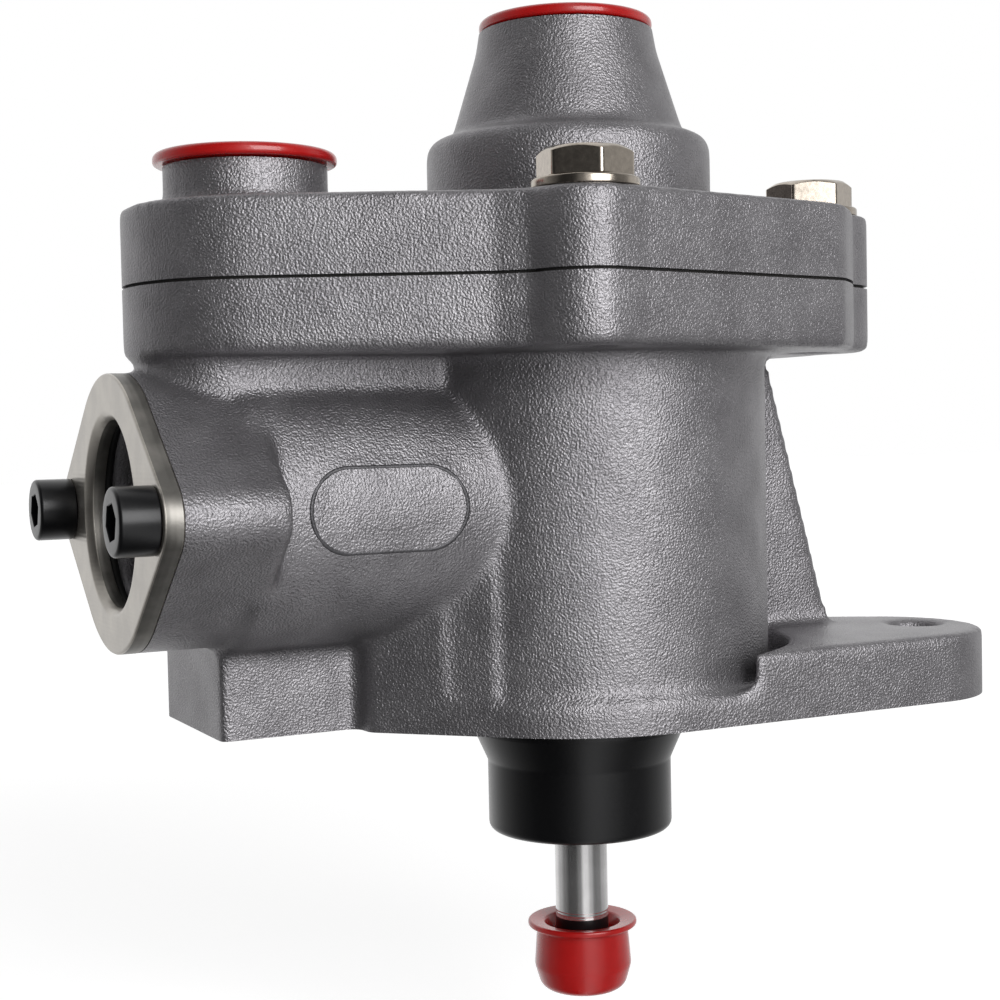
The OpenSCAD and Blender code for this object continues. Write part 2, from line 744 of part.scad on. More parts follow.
module piston() color(cut_grey) difference() {
    holes = 8;
    dish_depth = 2;
    dish_r = piston_bore_r - 6.5;
    union() {
        translate([0, 0, piston_z]) cylinder(h = piston_len, r = piston_bore_r - run_gap);
        translate([0, 0, retainer_z - hub_below]) cylinder(h = piston_z - retainer_z + 2 * lap, r = hub_r);
    }
    translate([0, 0, piston_ring_z - cut])
        tube(piston_bore_r + lap, piston_bore_r - piston_ring_w - cut, piston_ring_t + 2 * cut);
    translate([0, 0, retainer_z - 2 * lap])
        cylinder(h = rod_top - retainer_z + 2 * lap, r = rod_r + press_gap);
    for (i = [0 : holes - 1]) rotate([0, 0, i * 360 / holes]) translate([flow_hole_x, 0, piston_z - cut])
        cylinder(h = piston_len + 2 * cut, r = flow_hole_r);
    translate([0, 0, piston_top - dish_depth]) tube(dish_r, hub_r, dish_depth + lap);
    translate([0, 0, retainer_z - clip_t - cut]) tube(hub_r + lap, hub_r - clip_depth - cut, clip_t + cut);
}

module piston_ring() color(black)
    translate([0, 0, piston_ring_z]) tube(piston_bore_r - sink, piston_bore_r - piston_ring_w, piston_ring_t);

module piston_valve_disc() color(steel)
    translate([0, 0, piston_z - rest_gap - disc_t]) tube(piston_disc_r, hub_r + run_gap, disc_t);

module piston_valve_spring() color(steel) {
    h = piston_z - rest_gap - disc_t - (retainer_z + retainer_t) - 2 * cut;
    translate([0, 0, retainer_z + retainer_t + cut]) coil(clip_spring_r, valve_wire_r, h, valve_turns);
}

module piston_valve_retainer() color(steel) {
    clip_r = hub_r + 1.2;
    slot_w = 6;
    translate([0, 0, retainer_z]) tube(clip_spring_r + 1.9, hub_r + press_gap, retainer_t);
    translate([0, 0, retainer_z - clip_t - cut / 2]) rotate([0, 0, 90]) difference() {
        tube(clip_r, hub_r - clip_depth, clip_t);
        translate([0, -slot_w / 2, -cut]) cube([clip_r + lap, slot_w, clip_t + 2 * cut]);
    }
}

module pumping_spring() color(steel)
    translate([0, 0, piston_top + end_play])
        coil(spring_mean_r, spring_wire_r, spring_seat_z - piston_top - 2 * end_play, spring_turns, 24);

module spring_seat() color(steel)
    translate([0, 0, spring_seat_z]) tube(recess_r - cut, valve_r + 0.6, seat_washer_t);

// Valve pieces, with the seat face towards the flow at z = 0 and the cage below
module valve_seat() difference() {
    land_w = 1.4;
    land_h = 0.5;
    translate([0, 0, -valve_seat_t]) tube(valve_r - press_gap, valve_hole_r, valve_seat_t);
    translate([0, 0, -valve_seat_t - cut]) tube(valve_r - land_w, valve_hole_r + land_w, land_h + cut);
}

module valve_disc() {
    knob_h = 1;
    knob_r = 3;
    disc_z = -valve_seat_t - rest_gap - disc_t;
    translate([0, 0, disc_z]) cylinder(h = disc_t, r = valve_disc_r);
    translate([0, 0, disc_z - knob_h]) cylinder(h = knob_h + cut, r = knob_r);
}

module valve_spring(room = 0)
    translate([0, 0, -valve_pocket + valve_wall + cut])
        coil(valve_spring_r, valve_wire_r, valve_spring_h + rest_gap - 3 * cut - room, valve_turns, 16);

// Cup with a perforated floor and four windows, which guides the disc
module valve_cage() {
    cup_h = valve_pocket - valve_seat_t;
    cup_r = valve_disc_r + 0.4;
    floor_h = valve_wall + 2 * cut;
    mid_hole_r = 2.6;
    side_hole_r = 1.6;
    side_hole_x = 7;
    windows = 4;
    window = 5;
    window_z = 2 * valve_wall;
    window_h = cup_h - 4;
    difference() {
        translate([0, 0, -valve_pocket]) cylinder(h = cup_h, r = valve_r - press_gap);
        translate([0, 0, -valve_pocket + valve_wall]) cylinder(h = cup_h, r = cup_r);
        translate([0, 0, -valve_pocket - cut]) cylinder(h = floor_h, r = mid_hole_r);
        for (i = [0 : windows - 1]) rotate([0, 0, i * 360 / windows]) {
            translate([side_hole_x, 0, -valve_pocket - cut]) cylinder(h = floor_h, r = side_hole_r);
            translate([cup_r - lap, -window / 2, window_z - valve_pocket]) cube([window, window, window_h]);
        }
    }
}

module at_inlet() {
    translate([0, 0, inlet_top_z]) children();
}

module at_outlet() {
    along_boss(outlet_x) children();
}

module inlet_valve_seat() color(brass) at_inlet() valve_seat();
module inlet_valve_disc() color(steel) at_inlet() valve_disc();
module inlet_valve_spring() color(steel) at_inlet() valve_spring();
module inlet_valve_cage() color(brass) at_inlet() valve_cage();
module outlet_valve_seat() color(brass) at_outlet() valve_seat();
module outlet_valve_disc() color(steel) at_outlet() valve_disc();
module outlet_valve_spring() color(steel) at_outlet() valve_spring(disc_lift + 2 * cut);
module outlet_valve_cage() color(brass) at_outlet() valve_cage();

module cage_retaining_ring() color(steel)
    along_boss(socket_end_x + cut + cage_ring_play)
        snap_ring(valve_r + ring_groove - ring_play, cage_ring_w, cage_ring_t);

// Plug with a flange: the underside of the flange is at z = 0
module plug_cap(flange_r, mouth_r) {
    lip = cap_flange_t / 2;
    taper = 0.5;
    plug_r = mouth_r - rest_gap;
    difference() {
        union() {
            cylinder(h = cap_flange_t, r = flange_r - lip);
            translate([0, 0, lip]) o_ring(flange_r - lip, lip);
            translate([0, 0, -plug_depth]) cylinder(h = plug_depth + cut, r1 = plug_r - taper, r2 = plug_r);
        }
        translate([0, 0, -plug_depth + cap_wall])
            cylinder(h = plug_depth + cap_flange_t, r1 = plug_r - taper - cap_wall, r2 = plug_r - cap_wall);
    }
}

module tower_cap() color(cap_red)
    translate([0, 0, tower_top + rest_gap]) plug_cap(tower_cap_r, tower_mouth_r);

module side_cap() color(cap_red)
    translate([-side_port_x, 0, side_top + rest_gap]) plug_cap(side_cap_r, side_mouth_r);

// Cup with a bulged wall and a flared rim, pushed on the end of the rod
module rod_cap() {
    rim_z = -rod_reach - 0.6;
    rim_wall = 0.8;
    rim_flat = 3;
    throat = 2.6;
    neck = rod_cap_r - 0.55;
    bottom_r = 5.4;
    inner = rod_r + rest_gap;
    mouth = 5;
    rim_drop = 0.9;
    // Shares of the height: the rim ends, the bulge is reached, the bottom rounding begins
    rim_end = 0.18;
    bulge_at = 0.5;
    turn_at = 0.72;
    steps = 14;
    function side_r(s) = s < rim_end
        ? rod_cap_rim_r - (rod_cap_rim_r - neck) * sin(s / rim_end * 90)
        : neck + (rod_cap_r - neck) * sin(min(1, (s - rim_end) / (bulge_at - rim_end)) * 90);
    function turn(s) = 1 - sqrt(1 - pow(max(0, (s - turn_at) / (1 - turn_at)), 2));
    function low_r(s) = side_r(s) - (rod_cap_r - bottom_r) * turn(s);
    color(cap_red) difference() {
        rotate_extrude() translate([0, rim_z]) polygon(concat(
            [[0, 0]], [for (i = [0 : 2 * steps]) [low_r(i / (2 * steps)), -rod_cap_h * i / (2 * steps)]],
            [[0, -rod_cap_h]]
        ));
        translate([0, 0, -rod_reach - tip_len - rest_gap]) cylinder(h = tip_len + 2 * lap, r = inner);
        translate([0, 0, rim_z - mouth]) cylinder(h = mouth + cut, r1 = inner, r2 = rod_cap_rim_r - throat);
        translate([0, 0, rim_z - rim_drop])
            cylinder(h = rim_drop + cut, r1 = rod_cap_rim_r - rim_flat, r2 = rod_cap_rim_r - rim_wall);
    }
}

body_casting();
cover_casting();
cover_gasket();
cover_bolts();
bolt_washers();
end_plate();
plate_screws();
plate_o_ring();
guide_sleeve();
sleeve_o_ring();
rod_seals();
seal_retaining_ring();
push_rod();
rod_tip();
piston();
piston_ring();
piston_valve_disc();
piston_valve_spring();
piston_valve_retainer();
pumping_spring();
spring_seat();
inlet_valve_seat();
inlet_valve_disc();
inlet_valve_spring();
inlet_valve_cage();
outlet_valve_seat();
outlet_valve_disc();
outlet_valve_spring();
outlet_valve_cage();
cage_retaining_ring();
tower_cap();
side_cap();
rod_cap();
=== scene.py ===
"""Fuel transfer pump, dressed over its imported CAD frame. Lengths in the sections are in millimetres."""
import math

import bmesh
import bpy
import numpy as np
from mathutils import Matrix, Vector


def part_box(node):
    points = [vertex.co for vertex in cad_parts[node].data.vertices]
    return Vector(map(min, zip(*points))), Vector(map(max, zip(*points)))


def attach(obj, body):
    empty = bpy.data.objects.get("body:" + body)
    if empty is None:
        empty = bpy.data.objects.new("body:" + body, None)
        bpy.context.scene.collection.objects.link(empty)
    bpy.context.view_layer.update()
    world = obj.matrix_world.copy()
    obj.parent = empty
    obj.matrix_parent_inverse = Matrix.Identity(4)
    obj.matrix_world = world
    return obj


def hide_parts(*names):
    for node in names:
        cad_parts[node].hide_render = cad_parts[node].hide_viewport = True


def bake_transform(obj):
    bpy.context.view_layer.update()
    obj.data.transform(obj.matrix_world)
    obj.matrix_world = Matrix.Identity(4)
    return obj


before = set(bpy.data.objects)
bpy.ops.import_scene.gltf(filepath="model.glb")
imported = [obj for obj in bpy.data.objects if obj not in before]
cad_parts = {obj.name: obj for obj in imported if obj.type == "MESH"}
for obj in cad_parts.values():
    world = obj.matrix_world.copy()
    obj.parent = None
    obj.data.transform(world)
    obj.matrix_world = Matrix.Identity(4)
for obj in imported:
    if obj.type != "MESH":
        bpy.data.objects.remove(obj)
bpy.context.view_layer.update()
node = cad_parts
MM = 0.001


# Body and cover castings
#
# Two sand castings in aluminium, shot blasted, so every edge and corner is softly rounded and the
# skin is an even fine grain. The joint face, the foot and the boss face are milled flat afterwards.

def merged_mesh(name):
    """The node's CAD mesh in mm with its doubles merged: points, and triangles as point numbers."""
    mesh = node[name].data
    mesh.calc_loop_triangles()
    points = np.empty(len(mesh.vertices) * 3)
    mesh.vertices.foreach_get("co", points)
    points = points.reshape(-1, 3) / MM
    tris = np.empty(len(mesh.loop_triangles) * 3, np.int64)
    mesh.loop_triangles.foreach_get("vertices", tris)
    _, first, back = np.unique(np.round(points, 3), axis=0, return_index=True, return_inverse=True)
    tris = back.reshape(-1)[tris].reshape(-1, 3)
    whole = (tris[:, 0] != tris[:, 1]) & (tris[:, 1] != tris[:, 2]) & (tris[:, 2] != tris[:, 0])
    return points[first], tris[whole]


def new_mesh(name, points_mm, faces):
    """A mesh from points in mm and a list of faces."""
    mesh = bpy.data.meshes.new(name)
    mesh.from_pydata((np.asarray(points_mm) * MM).tolist(), [], [list(map(int, f)) for f in faces])
    mesh.update()
    return mesh


def new_object(name, data):
    """An object in the scene that shows this mesh, lamp or camera."""
    made = bpy.data.objects.new(name, data)
    bpy.context.scene.collection.objects.link(made)
    return made


def voxel_skin(mesh, voxel):
    """The mesh rebuilt as an even grid of small quads, voxel mm wide: points in mm and quads."""
    holder = new_object("voxel_holder", mesh)
    remesh = holder.modifiers.new("even_grid", "REMESH")
    remesh.mode = "VOXEL"
    remesh.voxel_size = voxel * MM
    graph = bpy.context.evaluated_depsgraph_get()
    made = bpy.data.meshes.new_from_object(holder.evaluated_get(graph))
    bpy.data.objects.remove(holder)
    points = np.empty(len(made.vertices) * 3)
    made.vertices.foreach_get("co", points)
    faces = np.empty(len(made.loops), np.int64)
    made.loops.foreach_get("vertex_index", faces)
    starts = np.empty(len(made.polygons), np.int64)
    made.polygons.foreach_get("loop_start", starts)
    sizes = np.diff(np.append(starts, len(faces)))
    bpy.data.meshes.remove(made)
    quads = faces[starts[sizes == 4][:, None] + np.arange(4)]
    return points.reshape(-1, 3) / MM, quads


def relax(points, quads, rounds, weight):
    """Each point moves by weight times the way to the mean of its neighbours, round after round. That rounds
    all edges."""
    ends = np.vstack([quads[:, [0, 1]], quads[:, [1, 2]], quads[:, [2, 3]], quads[:, [3, 0]]])
    ends = np.unique(np.sort(ends, axis=1), axis=0)
    count = np.bincount(ends.ravel(), minlength=len(points))[:, None]
    for _ in range(rounds):
        total = np.zeros_like(points)
        for axis in range(3):
            total[:, axis] = np.bincount(ends[:, 0], points[ends[:, 1], axis], len(points))
            total[:, axis] += np.bincount(ends[:, 1], points[ends[:, 0], axis], len(points))
        points = points + weight * (total / count - points)
    return points


def mill(bm, at, normal, reach=1000.0):
    """Cuts the mesh with a plane, no farther than reach from the point, and closes the cut with flat faces in
    the second material slot."""
    near = {v for v in bm.verts if (v.co - Vector(at) * MM).length < reach * MM}
    geometry = [part for part in bm.verts[:] + bm.edges[:] + bm.faces[:]
                if part in near or not isinstance(part, bmesh.types.BMVert) and near.issuperset(part.verts)]
    cut = bmesh.ops.bisect_plane(
        bm, geom=geometry, plane_co=Vector(at) * MM, plane_no=Vector(normal), clear_outer=True, dist=1e-7
    )
    rim = [e for e in cut["geom_cut"] if isinstance(e, bmesh.types.BMEdge) and e.is_boundary]
    filled = bmesh.ops.triangle_fill(bm, edges=rim, use_beauty=True, normal=Vector(normal))
    for face in filled["geom"]:
        if isinstance(face, bmesh.types.BMFace):
            face.material_index = 1
            face.smooth = False
    for edge in rim:
        edge.smooth = False


# The upper flanges have a flat side in front and behind: the height above which it runs, its distance from
# the barrel axis, and how far its normal is turned off the Y axis
rim_low, rim_reach, rim_turn = 59.0, 42.9, math.radians(11.5)


def flatten_sides(points, reach):
    """Moves the rim between two bolt bosses back to a flat side, which is reach from the barrel axis. A point
    past it moves back along the side's normal by as much as it is past it."""
    for side in (-1, 1):
        normal = np.array([math.sin(rim_turn), side * math.cos(rim_turn), 0.0])
        past = np.where(points[:, 2] > rim_low, np.maximum(points @ normal - reach, 0), 0)
        points -= past[:, None] * normal
    return points


def cast_skin(name, cad_node, stretched, cuts, voxel=0.8, rounds=5, same_face=0.02):
    """A casting: its milled faces are stretched out, the whole is rounded, and the faces are milled again.
    stretched has each face's axis, place and shift, and cuts what mill takes."""
    points, tris = merged_mesh(cad_node)
    points = flatten_sides(points, rim_reach)
    for axis, at, shift in stretched:
        points[np.abs(points[:, axis] - at) < same_face, axis] += shift
    points, quads = voxel_skin(new_mesh(name, points, tris), voxel)
    points = relax(points, quads, rounds, weight=0.5)
    mesh = new_mesh(name, points, quads)
    mesh.shade_smooth()
    bm = bmesh.new()
    bm.from_mesh(mesh)
    for cut in cuts:
        mill(bm, *cut)
    bmesh.ops.triangulate(bm, faces=bm.faces[:])
    bm.to_mesh(mesh)
    bm.free()
    return new_object(name, mesh)


def linear(code):
    """An sRGB hex colour as linear red, green, blue and alpha."""
    parts = [int(code[i : i + 2], 16) / 255 for i in (1, 3, 5)]
    return [*(c / 12.92 if c <= 0.04045 else ((c + 0.055) / 1.055) ** 2.4 for c in parts), 1.0]


def add(tree, kind, inputs=None, **settings):
    """Adds a node: settings are its own properties, inputs are values or sockets, by input name or number."""
    made = tree.nodes.new(kind)
    for key, value in settings.items():
        setattr(made, key, value)
    for key, value in (inputs or {}).items():
        if isinstance(value, bpy.types.NodeSocket):
            tree.links.new(value, made.inputs[key])
        else:
            made.inputs[key].default_value = value
    return made


def new_finish(name, **sockets):
    """A material with its Principled shader's constants set: the material, its tree and the shader."""
    material = bpy.data.materials.new(name)
    material.use_nodes = True
    shader = material.node_tree.nodes["Principled BSDF"]
    for key, value in sockets.items():
        shader.inputs[key.replace("_", " ")].default_value = value
    return material, material.node_tree, shader


def noise(tree, place, size_mm, detail):
    """The factor of a noise whose lumps are about size_mm wide."""
    inputs = {"Vector": place, "Scale": 1000 / size_mm, "Detail": detail}
    return add(tree, "ShaderNodeTexNoise", inputs).outputs["Fac"]


def two_tone(tree, factor, low, dark, high, light):
    """A linear colour that goes from dark, where the factor is low, to light, where it is high."""
    ramp = add(tree, "ShaderNodeValToRGB", {"Fac": factor})
    for stop, at, colour in zip(ramp.color_ramp.elements, (low, high), (dark, light)):
        stop.position = at
        stop.color = colour
    return ramp.outputs["Color"]


def wire(tree, shader, colour, height, strength, depth_mm, wear, roughness, change, span=(0.0, 1.0)):
    """Gives the shader its colour, a bump depth_mm high, and a roughness that goes from change below its mean
    to change above it while wear goes over its span."""
    bump = add(tree, "ShaderNodeBump", {"Height": height, "Strength": strength, "Distance": depth_mm * MM})
    rough = add(tree, "ShaderNodeMapRange", {
        "Value": wear, "From Min": span[0], "From Max": span[1],
        "To Min": roughness - change, "To Max": roughness + change,
    })
    tree.links.new(colour, shader.inputs["Base Color"])
    tree.links.new(rough.outputs["Result"], shader.inputs["Roughness"])
    tree.links.new(bump.outputs["Normal"], shader.inputs["Normal"])


def cast_finish(name, dark, light, grain_mm, depth_mm, roughness):
    """Shot-blasted cast aluminium: dents about grain_mm wide plus half as much of a finer noise, and a tone
    that is the product of that noise and slow clouds."""
    material, tree, shader = new_finish(name, Metallic=0.82)
    place = add(tree, "ShaderNodeTexCoord").outputs["Object"]
    grain = noise(tree, place, grain_mm, 0.0)
    speck = noise(tree, place, grain_mm * 0.5, 1.0)
    cloud = noise(tree, place, 7.0, 3.0)
    height = add(tree, "ShaderNodeMath", {0: speck, 1: 0.5, 2: grain}, operation="MULTIPLY_ADD")
    tone = add(tree, "ShaderNodeMath", {0: cloud, 1: speck}, operation="MULTIPLY")
    colour = two_tone(tree, tone.outputs[0], 0.12, linear(dark), 0.42, linear(light))
    wire(tree, shader, colour, height.outputs[0], 1.0, depth_mm, speck, roughness, 0.09, (0.3, 0.7))
    return material


def milled_finish(name, dark, light, pitch_mm, roughness, axis="X"):
    """A milled or turned face: parallel tool lines across the axis, about twice pitch_mm apart, which is
    coarser than real so that they show."""
    material, tree, shader = new_finish(name, Metallic=0.9)
    place = add(tree, "ShaderNodeTexCoord").outputs["Object"]
    lines = add(tree, "ShaderNodeTexWave", {
        "Vector": place, "Scale": 1000 / pitch_mm / 6.283, "Distortion": 0.6,
        "Detail": 2.0, "Detail Scale": 2.0,
    }, bands_direction=axis)
    cloud = noise(tree, place, 5.0, 4.0)
    colour = two_tone(tree, cloud, 0.35, linear(dark), 0.65, linear(light))
    wire(tree, shader, colour, lines.outputs["Fac"], 0.5, 0.02, cloud, roughness, 0.06)
    return material


def dress(piece, *materials):
    """Gives a piece these materials in its slots."""
    piece.data.materials.clear()
    for material in materials:
        piece.data.materials.append(material)


cast_aluminium = cast_finish("shot_blasted_cast_aluminium", "#7a787b", "#939194", 0.34, 0.135, 0.4)
milled_aluminium = milled_finish("milled_aluminium", "#a29d98", "#b9b4ae", 0.5, 0.38)

body_h, cover_z, tower_top, side_top, side_port_x, boss_face = 71.0, 71.5, 115.6, 90.0, -58, -78.3
# How far a milled face is stretched out before the rounding, and how far round the side port it is milled
stretch, side_port_reach = 3.0, 16.0
body_skin = cast_skin(
    "body_casting_skin", "body_casting",
    [(2, 0.0, -stretch), (2, body_h, stretch), (0, boss_face, -stretch)],
    [((0, 0, 0), (0, 0, -1)), ((0, 0, body_h), (0, 0, 1)), ((boss_face, 0, 0), (-1, 0, 0))],
)
cover_skin = cast_skin(
    "cover_casting_skin", "cover_casting",
    [(2, cover_z, -stretch), (2, tower_top, stretch), (2, side_top, stretch)],
    [((0, 0, cover_z), (0, 0, -1)), ((0, 0, tower_top), (0, 0, 1)),
     ((side_port_x, 0, side_top), (0, 0, 1), side_port_reach)],
)
for skin, cad_node in ((body_skin, "body_casting"), (cover_skin, "cover_casting")):
    dress(skin, cast_aluminium, milled_aluminium)
    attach(skin, "housing")
    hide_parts(cad_node)

boss_z, boss_r = 36.5, 22.5
# The oval: its middle, half the length of its straight sides, its half height, the bead's radius, and how far
# the bead's middle lies under the boss
pad_x, pad_half, pad_h, line_r, line_sink = -44.0, 6.4, 6.4, 0.45, 0.15


def oval_line(steps=48, sides=10):
    """A thin raised line on the front of the boss: a round bead, partly sunk in the boss, along an oval with
    straight long sides."""
    turn = np.linspace(-math.pi / 2, math.pi / 2, steps)
    x = np.append(pad_x + pad_half + pad_h * np.cos(turn), pad_x - pad_half - pad_h * np.cos(turn))
    z = np.append(pad_h * np.sin(turn), -pad_h * np.sin(turn))
    path = np.stack([x, -np.sqrt((boss_r - line_sink) ** 2 - z**2), z + boss_z], axis=1)
    outward = np.stack([np.zeros_like(x), path[:, 1], z], axis=1) / (boss_r - line_sink)
    along = np.roll(path, -1, axis=0) - np.roll(path, 1, axis=0)
    across = np.cross(outward, along / np.linalg.norm(along, axis=1)[:, None])
    round_it = np.arange(sides) * 2 * math.pi / sides
    points = (path[:, None] + line_r * (np.cos(round_it)[:, None] * across[:, None]
                                        + np.sin(round_it)[:, None] * outward[:, None])).reshape(-1, 3)
    low = np.arange(len(path))[:, None] * sides + np.arange(sides)
    high = np.roll(low, -1, axis=0)
    faces = np.stack([low, high, np.roll(high, -1, axis=1), np.roll(low, -1, axis=1)], axis=-1)
    mesh = new_mesh("oval_line", points, faces.reshape(-1, 4))
    mesh.shade_smooth()
    return new_object("oval_line", mesh)


bead = oval_line()
# The bead's dark colour is painted shade: it stands in for the shadow along the edges of the raised line.
dress(bead, cast_finish("painted_shade_oval_line", "#4a494b", "#5e5d60", 0.34, 0.05, 0.5))
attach(bead, "housing")


# End plate and gasket
#
# The plate is sawn from aluminium bar and milled on its face, its edges just broken. The gasket is a pressed
# fibre sheet, almost black.

def ringed(name, rings, place=Matrix(), shut=True, sides=192):
    """Rings round the local Z axis joined into a skin. A ring is (radius, height), each one value or one per
    angle. The list goes up the outside and down the inside. shut joins the last ring to the first, else the
    ends are filled."""
    angles = np.arange(sides) * 2 * np.pi / sides
    radii = np.array([np.broadcast_to(r, sides) for r, _ in rings])
    heights = np.array([np.broadcast_to(z, sides) for _, z in rings])
    points = np.stack([radii * np.cos(angles), radii * np.sin(angles), heights], axis=-1).reshape(-1, 3)
    low = np.arange(len(rings) if shut else len(rings) - 1)[:, None] * sides + np.arange(sides)
    high = (low + sides) % (len(rings) * sides)
    turned = np.roll(low, -1, axis=1), np.roll(high, -1, axis=1)
    faces = np.stack([low, turned[0], turned[1], high], axis=-1).reshape(-1, 4).tolist()
    if not shut:
        faces += [list(range(sides))[::-1], list(range((len(rings) - 1) * sides, len(rings) * sides))]
    turn = np.array(place.to_3x3())
    mesh = new_mesh(name, points @ turn.T + np.array(place.translation), faces)
    mesh.shade_smooth()
    mesh.set_sharp_from_angle(angle=math.radians(32))
    return new_object(name, mesh)


def rounded(corners, steps=6):
    """Corners (radius, height, edge radius), each one replaced by an arc that touches both its sides."""
    points = []
    for i, (r, z, edge) in enumerate(corners):
        here = np.array([r, z], float)
        sides = [np.array(corners[k][:2], float) - here for k in (i - 1, (i + 1) % len(corners))]
        one, two = (v / np.linalg.norm(v) for v in sides)
        if edge == 0:
            points.append((r, z))
            continue
        half = math.acos(np.clip(one @ two, -1, 1)) / 2
        centre = here + (one + two) / np.linalg.norm(one + two) * edge / math.sin(half)
        first = here + one * edge / math.tan(half) - centre
        last = here + two * edge / math.tan(half) - centre
        start = math.atan2(first[1], first[0])
        sweep = (math.atan2(last[1], last[0]) - start + math.pi) % (2 * math.pi) - math.pi
        for a in start + sweep * np.linspace(0, 1, steps):
            points.append((centre[0] + edge * math.cos(a), centre[1] + edge * math.sin(a)))
    return points


def joined(*pieces):
    """Joins pieces into the first one's mesh."""
    bm = bmesh.new()
    for piece in pieces:
        bm.from_mesh(piece.data)
    bm.to_mesh(pieces[0].data)
    bm.free()
    for piece in pieces[1:]:
        bpy.data.objects.remove(piece)
    return pieces[0]


def settle(piece, body, cad_node):
    """A piece that stands for one CAD node."""
    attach(piece, body)
    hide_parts(cad_node)


plate_t, plate_r, screw_y, ear_r, socket_r = 3.0, 21.5, 25.0, 5.8, 14.4
along_boss = Matrix.Translation((0, 0, boss_z)) @ Matrix.Rotation(-math.pi / 2, 4, "Y")


def plate_reach(angle, inset):
    """How far the plate's edge, moved in by inset, is from its middle: the farthest of its round middle, its
    two ears on +-Y, and the tangents between them."""
    middle, ear = plate_r - inset, ear_r - inset
    spread = math.acos((plate_r - ear_r) / screw_y)
    reach = np.full_like(angle, middle)
    for side in (1, -1):
        away = angle - side * math.pi / 2
        on_ear = screw_y * np.cos(away) + np.sqrt(np.maximum(ear**2 - (screw_y * np.sin(away)) ** 2, 0))
        farther = np.maximum(reach, on_ear * (np.cos(away) > 0))
        reach = np.where(np.abs(screw_y * np.sin(away)) < ear, farther, reach)
        for lean in (-spread, spread):
            to_wall = np.cos(away - lean)
            from_foot = np.sin(away - lean)
            foot = np.abs(from_foot * middle / np.maximum(to_wall, 1e-6))
            on_wall = (to_wall > 0) & (foot < screw_y * math.sin(spread)) & (from_foot * lean < 0)
            reach = np.where(on_wall, np.maximum(reach, middle / np.maximum(to_wall, 1e-6)), reach)
    return reach


plate_sides = 720
plate_angles = np.arange(plate_sides) * 2 * np.pi / plate_sides
face, back = -boss_face + plate_t, -boss_face
end_plate = ringed("end_plate_skin", [
    (plate_reach(plate_angles, 0.25), back), (plate_reach(plate_angles, 0.0), back + 0.25),
    (plate_reach(plate_angles, 0.0), face - 0.3), (plate_reach(plate_angles, 0.1), face - 0.1),
    (plate_reach(plate_angles, 0.3), face), (plate_reach(plate_angles, 0.5), face), (socket_r + 1.6, face),
    (socket_r + 1.25, face), (socket_r + 1.0, face - 0.1),
    (socket_r + 0.1, face - 1.0), (socket_r, face - 1.2), (socket_r, back),
], along_boss, sides=plate_sides)
dress(end_plate, milled_finish("milled_aluminium_plate", "#a8a39c", "#bdb8b0", 0.35, 0.34, "Z"),
      milled_finish("sawn_plate_edge", "#6d6b67", "#8c8984", 0.5, 0.42, "X"))
# Faces that look along X are milled, and the rest has the sawn finish
sawn_below = 0.4
for polygon in end_plate.data.polygons:
    polygon.material_index = int(abs(polygon.normal.x) < sawn_below)
settle(end_plate, "housing", "end_plate")


def plain_finish(name, code, roughness, metallic=0.0, grain_mm=0.6, depth_mm=0.01, **sockets):
    """A plain surface with a fine grain, whose tone goes from 0.88 to 1.1 times the colour."""
    material, tree, shader = new_finish(name, Metallic=metallic, **sockets)
    place = add(tree, "ShaderNodeTexCoord").outputs["Object"]
    grain = noise(tree, place, grain_mm, 3.0)
    base = np.array(linear(code))[:3]
    dark, light = [*(base * 0.88), 1.0], [*np.minimum(base * 1.1, 1.0), 1.0]
    colour = two_tone(tree, grain, 0.3, dark, 0.7, light)
    wire(tree, shader, colour, grain, 0.6, depth_mm, grain, roughness, 0.05)
    return material


gasket_inset = 0.7
points, tris = merged_mesh("cover_gasket")
points = flatten_sides(points, rim_reach - gasket_inset)
gasket = new_object("cover_gasket_skin", new_mesh("cover_gasket_skin", points, tris))
dress(gasket, plain_finish("pressed_fibre_gasket", "#1d1b1a", 0.85, grain_mm=0.4, depth_mm=0.03))
settle(gasket, "housing", "cover_gasket")


# Bolts, washers and small steel pieces
#
# Rolled and zinc-plated steel with a warm grey tone. Valve plates, springs and snap rings are plain steel.

plated_steel = plain_finish("zinc_plated_steel", "#aaa196", 0.2, 1.0, grain_mm=0.9, depth_mm=0.012)
cover_top, washer_t, head_h, across_flats = 83.6, 1.5, 4.5, 13.0
bolt_circle_r, bolt_r, bolt_end = 42, 3.97, -24.1
# Where each bolt is on its circle, and how far its head is turned, in degrees
bolt_angles, bolt_turns = (-115.5, -23, 23, 115.5), (-9.5, 1.5, 55, 78)
head_sides = 240
head_angles = np.arange(head_sides) * 2 * np.pi / head_sides


def hexagon_reach(width):
    """How far the edge of a hexagon is from its middle: half its width across flats, over the cosine of the
    angle to the middle of the nearest flat."""
    return width / 2 / np.cos((head_angles + np.pi / 6) % (np.pi / 3) - np.pi / 6)


def bevel_top(radius, height, full, slope=0.5):
    """Height of a hexagon's edge where a cone cuts its corners: lower by slope times how far it is past the
    radius full."""
    return height - np.maximum(radius - full, 0) * slope


